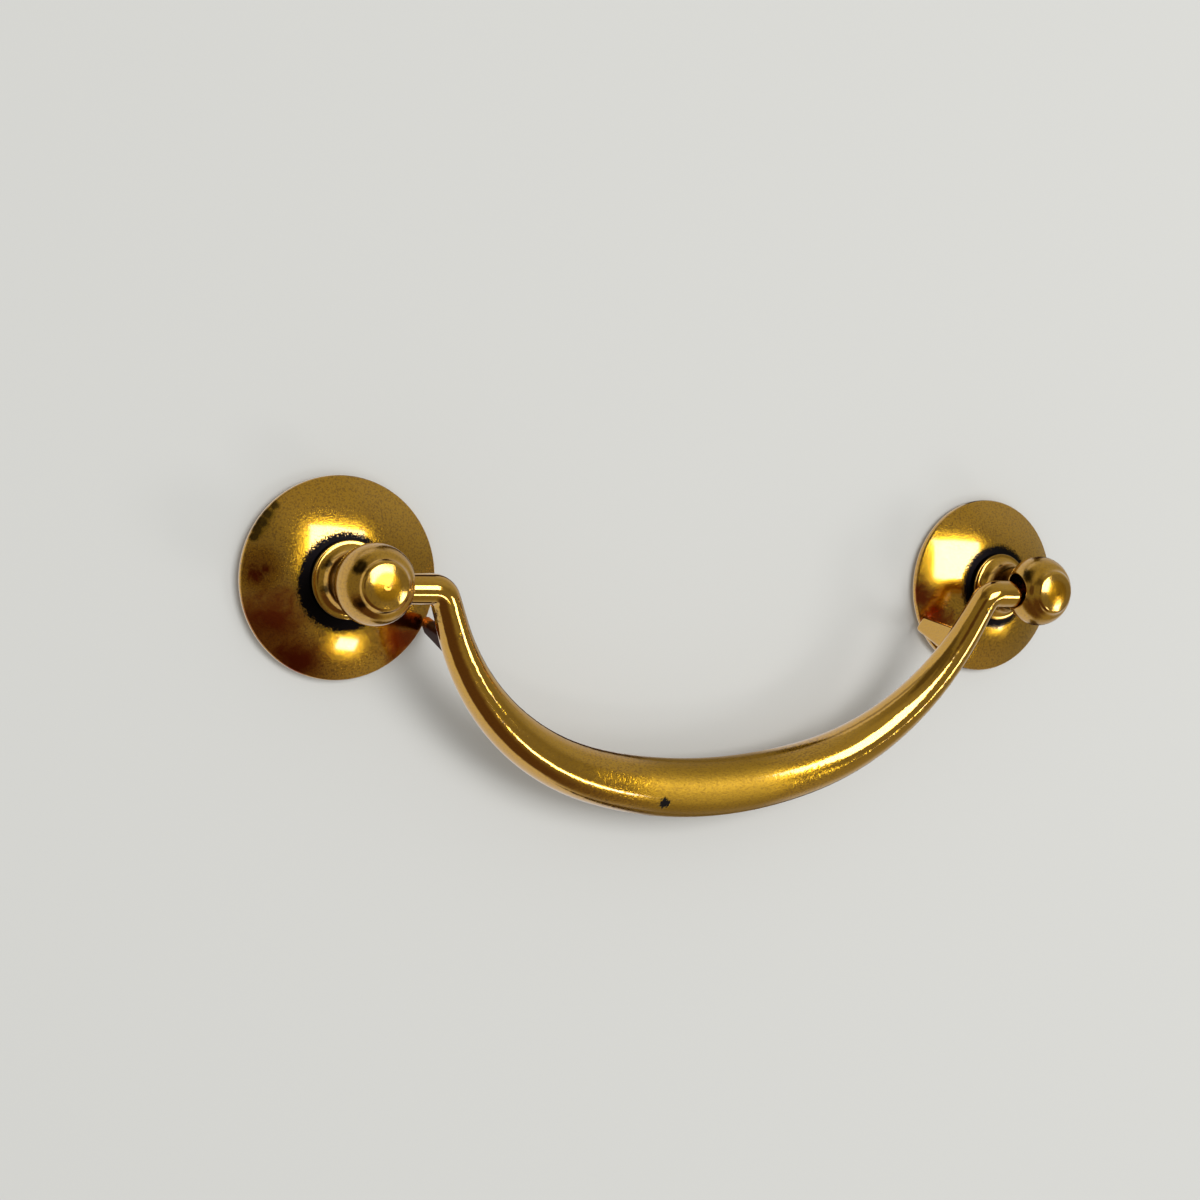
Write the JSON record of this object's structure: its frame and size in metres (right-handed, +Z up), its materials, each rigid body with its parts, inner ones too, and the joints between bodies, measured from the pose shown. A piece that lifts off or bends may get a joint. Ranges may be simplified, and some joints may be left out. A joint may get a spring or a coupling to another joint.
{
  "type": "bail pull",
  "caption": "Drop bail pull: a swelled swan-neck bail hinged in ball-ended posts on domed rosettes, held from behind by machine screws.",
  "frame": {"origin": "midway between the two screw axes, on the drawer front the rosettes lie against", "axes": "+X along the pull from the left post to the right one as seen from the front, +Z up, -Y out of the drawer front towards the user, +Y along the screws into the drawer front"},
  "size_m": [0.127, 0.0385, 0.0441],
  "materials": {
    "bail_brass": "polished antique",
    "post_brass": "polished antique",
    "rosette_brass": "burnished antique",
    "screw_steel": "zinc plated"
  },
  "bodies": {
    "fixed_parts": {"left_rosette": "rosette_brass", "right_rosette": "rosette_brass", "left_post": "post_brass", "right_post": "post_brass", "left_screw": "screw_steel", "right_screw": "screw_steel"},
    "swinging_bail": {"bail": "bail_brass"}
  },
  "joints": [
    {"name": "bail_swing", "type": "hinge", "parent": "fixed_parts", "child": "swinging_bail", "pos_m": [0, -0.0128, -0.00049], "axis": [-1, 0, 0], "range_deg": [0, 210]}
  ]
}
